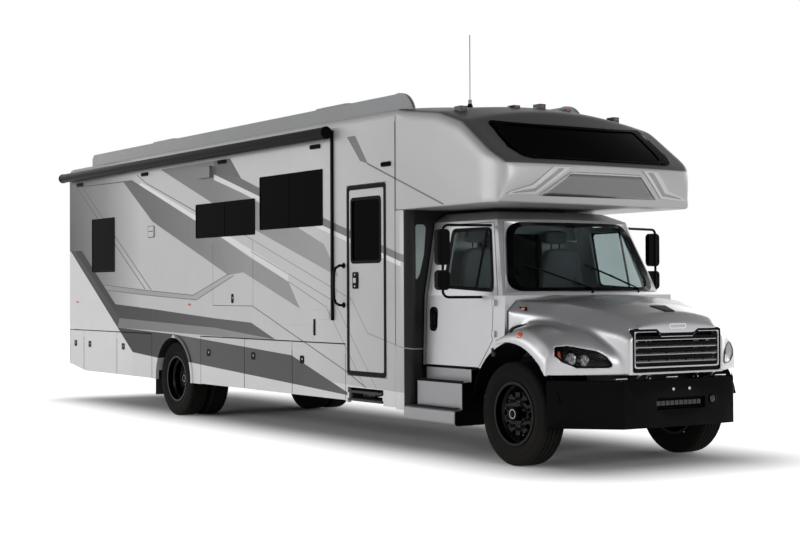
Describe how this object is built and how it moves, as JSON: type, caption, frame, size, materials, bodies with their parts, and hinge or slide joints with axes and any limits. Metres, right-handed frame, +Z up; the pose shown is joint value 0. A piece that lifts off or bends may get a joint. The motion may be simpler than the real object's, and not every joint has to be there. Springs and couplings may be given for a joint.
{
  "type": "motorhome",
  "caption": "Large motorhome on a truck chassis: silver striped coach with over-cab bunk, side baggage doors, slide-out room, black windows and a tilting hood.",
  "frame": {"origin": "on the ground at the centre of the vehicle's bounding box", "axes": "+X forward, +Y to the driver's left, +Z up"},
  "size_m": [12.11, 2.8972, 4.3],
  "materials": {
    "tyre_rubber": "matte",
    "wheel_paint": "satin",
    "chassis_paint": "satin",
    "engine_paint": "matte",
    "under_steel": "matte",
    "dark_glass": "polished",
    "black_plastic": "matte",
    "lamp_lens": "gloss",
    "seat_cloth": "matte",
    "tank_metal": "satin",
    "silver_paint": "metallic",
    "grey_paint": "metallic",
    "white_paint": "gloss",
    "coach_paint": "metallic"
  },
  "bodies": {
    "chassis": {"awning": "black_plastic", "baggage_boxes": "under_steel", "cab_seats": "seat_cloth", "cab_shell": "silver_paint", "cab_steps": "silver_paint", "coach_cap": "coach_paint", "coach_end_walls": "coach_paint", "coach_floor": "under_steel", "coach_roof": "white_paint", "coach_skirts": "coach_paint", "coach_wall_left": "coach_paint", "coach_wall_right": "coach_paint", "coach_windows": "dark_glass", "dashboard": "black_plastic", "drive_shaft": "chassis_paint", "engine": "engine_paint", "frame_rails": "chassis_paint", "front_axle": "chassis_paint", "front_bumper": "black_plastic", "lamps": "lamp_lens", "leaf_springs": "chassis_paint", "radiator": "engine_paint", "rear_axle": "chassis_paint", "rear_bumper": "chassis_paint", "roof_fittings": "white_paint", "tank_and_exhaust": "tank_metal", "windshield": "dark_glass"},
    "knuckle_right": {"knuckle_right": "chassis_paint"},
    "front_wheel_right": {"front_wheel_right": "wheel_paint", "front_tyre_right": "tyre_rubber"},
    "rear_wheels_right": {"rear_wheels_right": "wheel_paint", "rear_tyres_right": "tyre_rubber"},
    "cab_door_right": {"cab_door_right": "silver_paint", "cab_door_glass_right": "dark_glass", "mirror_right": "black_plastic"},
    "knuckle_left": {"knuckle_left": "chassis_paint"},
    "front_wheel_left": {"front_wheel_left": "wheel_paint", "front_tyre_left": "tyre_rubber"},
    "rear_wheels_left": {"rear_wheels_left": "wheel_paint", "rear_tyres_left": "tyre_rubber"},
    "cab_door_left": {"cab_door_left": "silver_paint", "cab_door_glass_left": "dark_glass", "mirror_left": "black_plastic"},
    "hood": {"hood": "silver_paint", "grille": "black_plastic", "headlamps": "lamp_lens"},
    "entry_door": {"entry_door": "grey_paint", "entry_door_glass": "dark_glass"},
    "cupboard_hatch": {"cupboard_hatch": "coach_paint"},
    "baggage_door_right_1": {"baggage_door_right_1": "coach_paint"},
    "baggage_door_right_2": {"baggage_door_right_2": "coach_paint"},
    "baggage_door_right_3": {"baggage_door_right_3": "coach_paint"},
    "baggage_door_right_4": {"baggage_door_right_4": "coach_paint"},
    "baggage_door_right_5": {"baggage_door_right_5": "coach_paint"},
    "baggage_door_right_6": {"baggage_door_right_6": "coach_paint"},
    "baggage_door_left_1": {"baggage_door_left_1": "coach_paint"},
    "baggage_door_left_2": {"baggage_door_left_2": "coach_paint"},
    "baggage_door_left_3": {"baggage_door_left_3": "coach_paint"},
    "slide_out": {"slide_out": "coach_paint"},
    "entry_step": {"entry_step": "under_steel"}
  },
  "joints": [
    {"name": "steer_right", "type": "hinge", "parent": "chassis", "child": "knuckle_right", "pos_m": [4.99, -0.88, 0.49], "axis": [0, 0, 1], "range_deg": [-35, 35]},
    {"name": "roll_front_right", "type": "hinge", "parent": "knuckle_right", "child": "front_wheel_right", "pos_m": [4.99, -1.0125, 0.49], "axis": [0, 1, 0], "continuous": true},
    {"name": "roll_rear_right", "type": "hinge", "parent": "chassis", "child": "rear_wheels_right", "pos_m": [-2.22, -0.97, 0.49], "axis": [0, 1, 0], "continuous": true},
    {"name": "open_cab_door_right", "type": "hinge", "parent": "chassis", "child": "cab_door_right", "pos_m": [4.6, -1.095, 1.3], "axis": [0, 0, 1], "range_deg": [0, 70]},
    {"name": "steer_left", "type": "hinge", "parent": "chassis", "child": "knuckle_left", "pos_m": [4.99, 0.88, 0.49], "axis": [0, 0, 1], "range_deg": [-35, 35]},
    {"name": "roll_front_left", "type": "hinge", "parent": "knuckle_left", "child": "front_wheel_left", "pos_m": [4.99, 1.0125, 0.49], "axis": [0, 1, 0], "continuous": true},
    {"name": "roll_rear_left", "type": "hinge", "parent": "chassis", "child": "rear_wheels_left", "pos_m": [-2.22, 0.97, 0.49], "axis": [0, 1, 0], "continuous": true},
    {"name": "open_cab_door_left", "type": "hinge", "parent": "chassis", "child": "cab_door_left", "pos_m": [4.6, 1.095, 1.3], "axis": [0, 0, -1], "range_deg": [0, 70]},
    {"name": "open_hood", "type": "hinge", "parent": "chassis", "child": "hood", "pos_m": [5.97, 0, 0.86], "axis": [0, 1, 0], "range_deg": [0, 70]},
    {"name": "open_entry_door", "type": "hinge", "parent": "chassis", "child": "entry_door", "pos_m": [3.0343, -1.2825, 1.7], "axis": [0, 0, 1], "range_deg": [0, 100]},
    {"name": "open_cupboard_hatch", "type": "hinge", "parent": "chassis", "child": "cupboard_hatch", "pos_m": [-0.4925, -1.2825, 2.2363], "axis": [-1, 0, 0], "range_deg": [0, 85]},
    {"name": "open_baggage_door_right_1", "type": "hinge", "parent": "chassis", "child": "baggage_door_right_1", "pos_m": [-5.4142, -1.2825, 0.76], "axis": [0, 0, 1], "range_deg": [0, 90]},
    {"name": "open_baggage_door_right_2", "type": "hinge", "parent": "chassis", "child": "baggage_door_right_2", "pos_m": [-4.1502, -1.2825, 0.76], "axis": [0, 0, 1], "range_deg": [0, 90]},
    {"name": "open_baggage_door_right_3", "type": "hinge", "parent": "chassis", "child": "baggage_door_right_3", "pos_m": [-2.9252, -1.2825, 0.76], "axis": [0, 0, 1], "range_deg": [0, 90]},
    {"name": "open_baggage_door_right_4", "type": "hinge", "parent": "chassis", "child": "baggage_door_right_4", "pos_m": [-0.1832, -1.2825, 0.76], "axis": [0, 0, 1], "range_deg": [0, 90]},
    {"name": "open_baggage_door_right_5", "type": "hinge", "parent": "chassis", "child": "baggage_door_right_5", "pos_m": [1.0098, -1.2825, 0.76], "axis": [0, 0, 1], "range_deg": [0, 90]},
    {"name": "open_baggage_door_right_6", "type": "hinge", "parent": "chassis", "child": "baggage_door_right_6", "pos_m": [2.2018, -1.2825, 0.76], "axis": [0, 0, 1], "range_deg": [0, 90]},
    {"name": "open_baggage_door_left_1", "type": "hinge", "parent": "chassis", "child": "baggage_door_left_1", "pos_m": [-2.9252, 1.2825, 0.76], "axis": [0, 0, -1], "range_deg": [0, 90]},
    {"name": "open_baggage_door_left_2", "type": "hinge", "parent": "chassis", "child": "baggage_door_left_2", "pos_m": [0.4008, 1.2825, 0.76], "axis": [0, 0, -1], "range_deg": [0, 90]},
    {"name": "open_baggage_door_left_3", "type": "hinge", "parent": "chassis", "child": "baggage_door_left_3", "pos_m": [2.2018, 1.2825, 0.76], "axis": [0, 0, -1], "range_deg": [0, 90]},
    {"name": "extend_slide_out", "type": "slide", "parent": "chassis", "child": "slide_out", "axis": [0, 1, 0], "range_m": [0, 0.7]},
    {"name": "extend_entry_step", "type": "slide", "parent": "chassis", "child": "entry_step", "axis": [0, -1, 0], "range_m": [0, 0.25]}
  ],
  "couplings": [
    {"joint": "steer_left", "follows": "steer_right", "ratio": 1}
  ]
}
